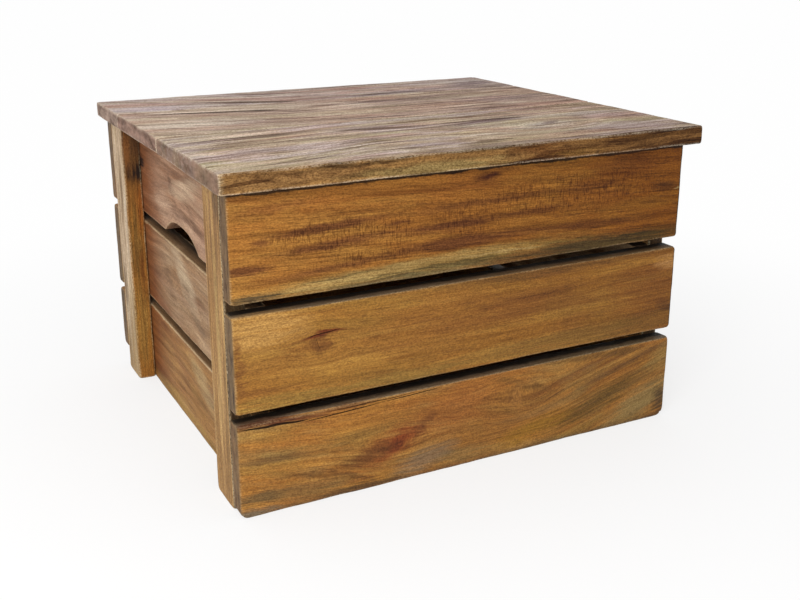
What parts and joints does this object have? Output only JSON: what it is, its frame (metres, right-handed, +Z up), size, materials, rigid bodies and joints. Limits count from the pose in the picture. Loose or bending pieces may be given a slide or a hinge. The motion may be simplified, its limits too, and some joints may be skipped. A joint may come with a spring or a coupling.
{
  "type": "kindling box",
  "caption": "Rustic wooden kindling box with gapped slats, boarded ends with arched hand-holds between corner cleats, and a hinged lid of edge-glued boards.",
  "frame": {"origin": "bottom centre of the whole box with its lid closed, on the ground", "axes": "+Z up, -Y towards the front slats, +Y towards the hinges, +X along the slats to the right as seen from the front"},
  "size_m": [0.521, 0.4658, 0.3303],
  "materials": {
    "slat_wood": "oiled reclaimed boards, golden to orange brown, satin",
    "end_wood": "planed boards, pinkish tan, matt",
    "cleat_wood": "planed strips, yellowish tan with upright grain, matt",
    "floor_wood": "rough sawn boards, tan, matt",
    "lid_wood": "weathered boards, grey-brown with pinkish streaks, matt",
    "dowel_wood": "turned beech, plain",
    "hinge_brass": "aged, dull",
    "screw_steel": "zinc plated, dulled"
  },
  "bodies": {
    "crate": {"front_slat_bottom": "slat_wood", "front_slat_middle": "slat_wood", "front_slat_top": "slat_wood", "back_slat_bottom": "slat_wood", "back_slat_middle": "slat_wood", "back_slat_top": "slat_wood", "front_slat_dowel_bottom_left": "dowel_wood", "front_slat_dowel_bottom_right": "dowel_wood", "front_slat_dowel_middle_left": "dowel_wood", "front_slat_dowel_middle_right": "dowel_wood", "front_slat_dowel_top_left": "dowel_wood", "front_slat_dowel_top_right": "dowel_wood", "back_slat_dowel_bottom_left": "dowel_wood", "back_slat_dowel_bottom_right": "dowel_wood", "back_slat_dowel_middle_left": "dowel_wood", "back_slat_dowel_middle_right": "dowel_wood", "back_slat_dowel_top_left": "dowel_wood", "back_slat_dowel_top_right": "dowel_wood", "corner_cleat_front_left": "cleat_wood", "corner_cleat_front_right": "cleat_wood", "corner_cleat_back_left": "cleat_wood", "corner_cleat_back_right": "cleat_wood", "left_end_board_bottom": "end_wood", "left_end_board_middle": "end_wood", "left_end_board_top": "end_wood", "right_end_board_bottom": "end_wood", "right_end_board_middle": "end_wood", "right_end_board_top": "end_wood", "floor_bearer_left": "floor_wood", "floor_bearer_right": "floor_wood", "floor_board_1": "floor_wood", "floor_board_2": "floor_wood", "floor_board_3": "floor_wood", "floor_board_4": "floor_wood", "hinge_left_crate_leaf": "hinge_brass", "hinge_right_crate_leaf": "hinge_brass", "hinge_left_pin": "hinge_brass", "hinge_right_pin": "hinge_brass", "hinge_left_crate_screw_left": "screw_steel", "hinge_left_crate_screw_right": "screw_steel", "hinge_right_crate_screw_left": "screw_steel", "hinge_right_crate_screw_right": "screw_steel"},
    "lid": {"lid_board_front": "lid_wood", "lid_board_middle": "lid_wood", "lid_board_back": "lid_wood", "lid_batten_left": "lid_wood", "lid_batten_right": "lid_wood", "lid_batten_left_screw_front": "screw_steel", "lid_batten_left_screw_middle": "screw_steel", "lid_batten_left_screw_back": "screw_steel", "lid_batten_right_screw_front": "screw_steel", "lid_batten_right_screw_middle": "screw_steel", "lid_batten_right_screw_back": "screw_steel", "hinge_left_lid_leaf": "hinge_brass", "hinge_right_lid_leaf": "hinge_brass", "hinge_left_lid_screw_left": "screw_steel", "hinge_left_lid_screw_right": "screw_steel", "hinge_right_lid_screw_left": "screw_steel", "hinge_right_lid_screw_right": "screw_steel"}
  },
  "joints": [
    {"name": "lid_hinge", "type": "hinge", "parent": "crate", "child": "lid", "pos_m": [0, 0.22879, 0.31115], "axis": [-1, 0, 0], "range_deg": [0, 100]}
  ]
}
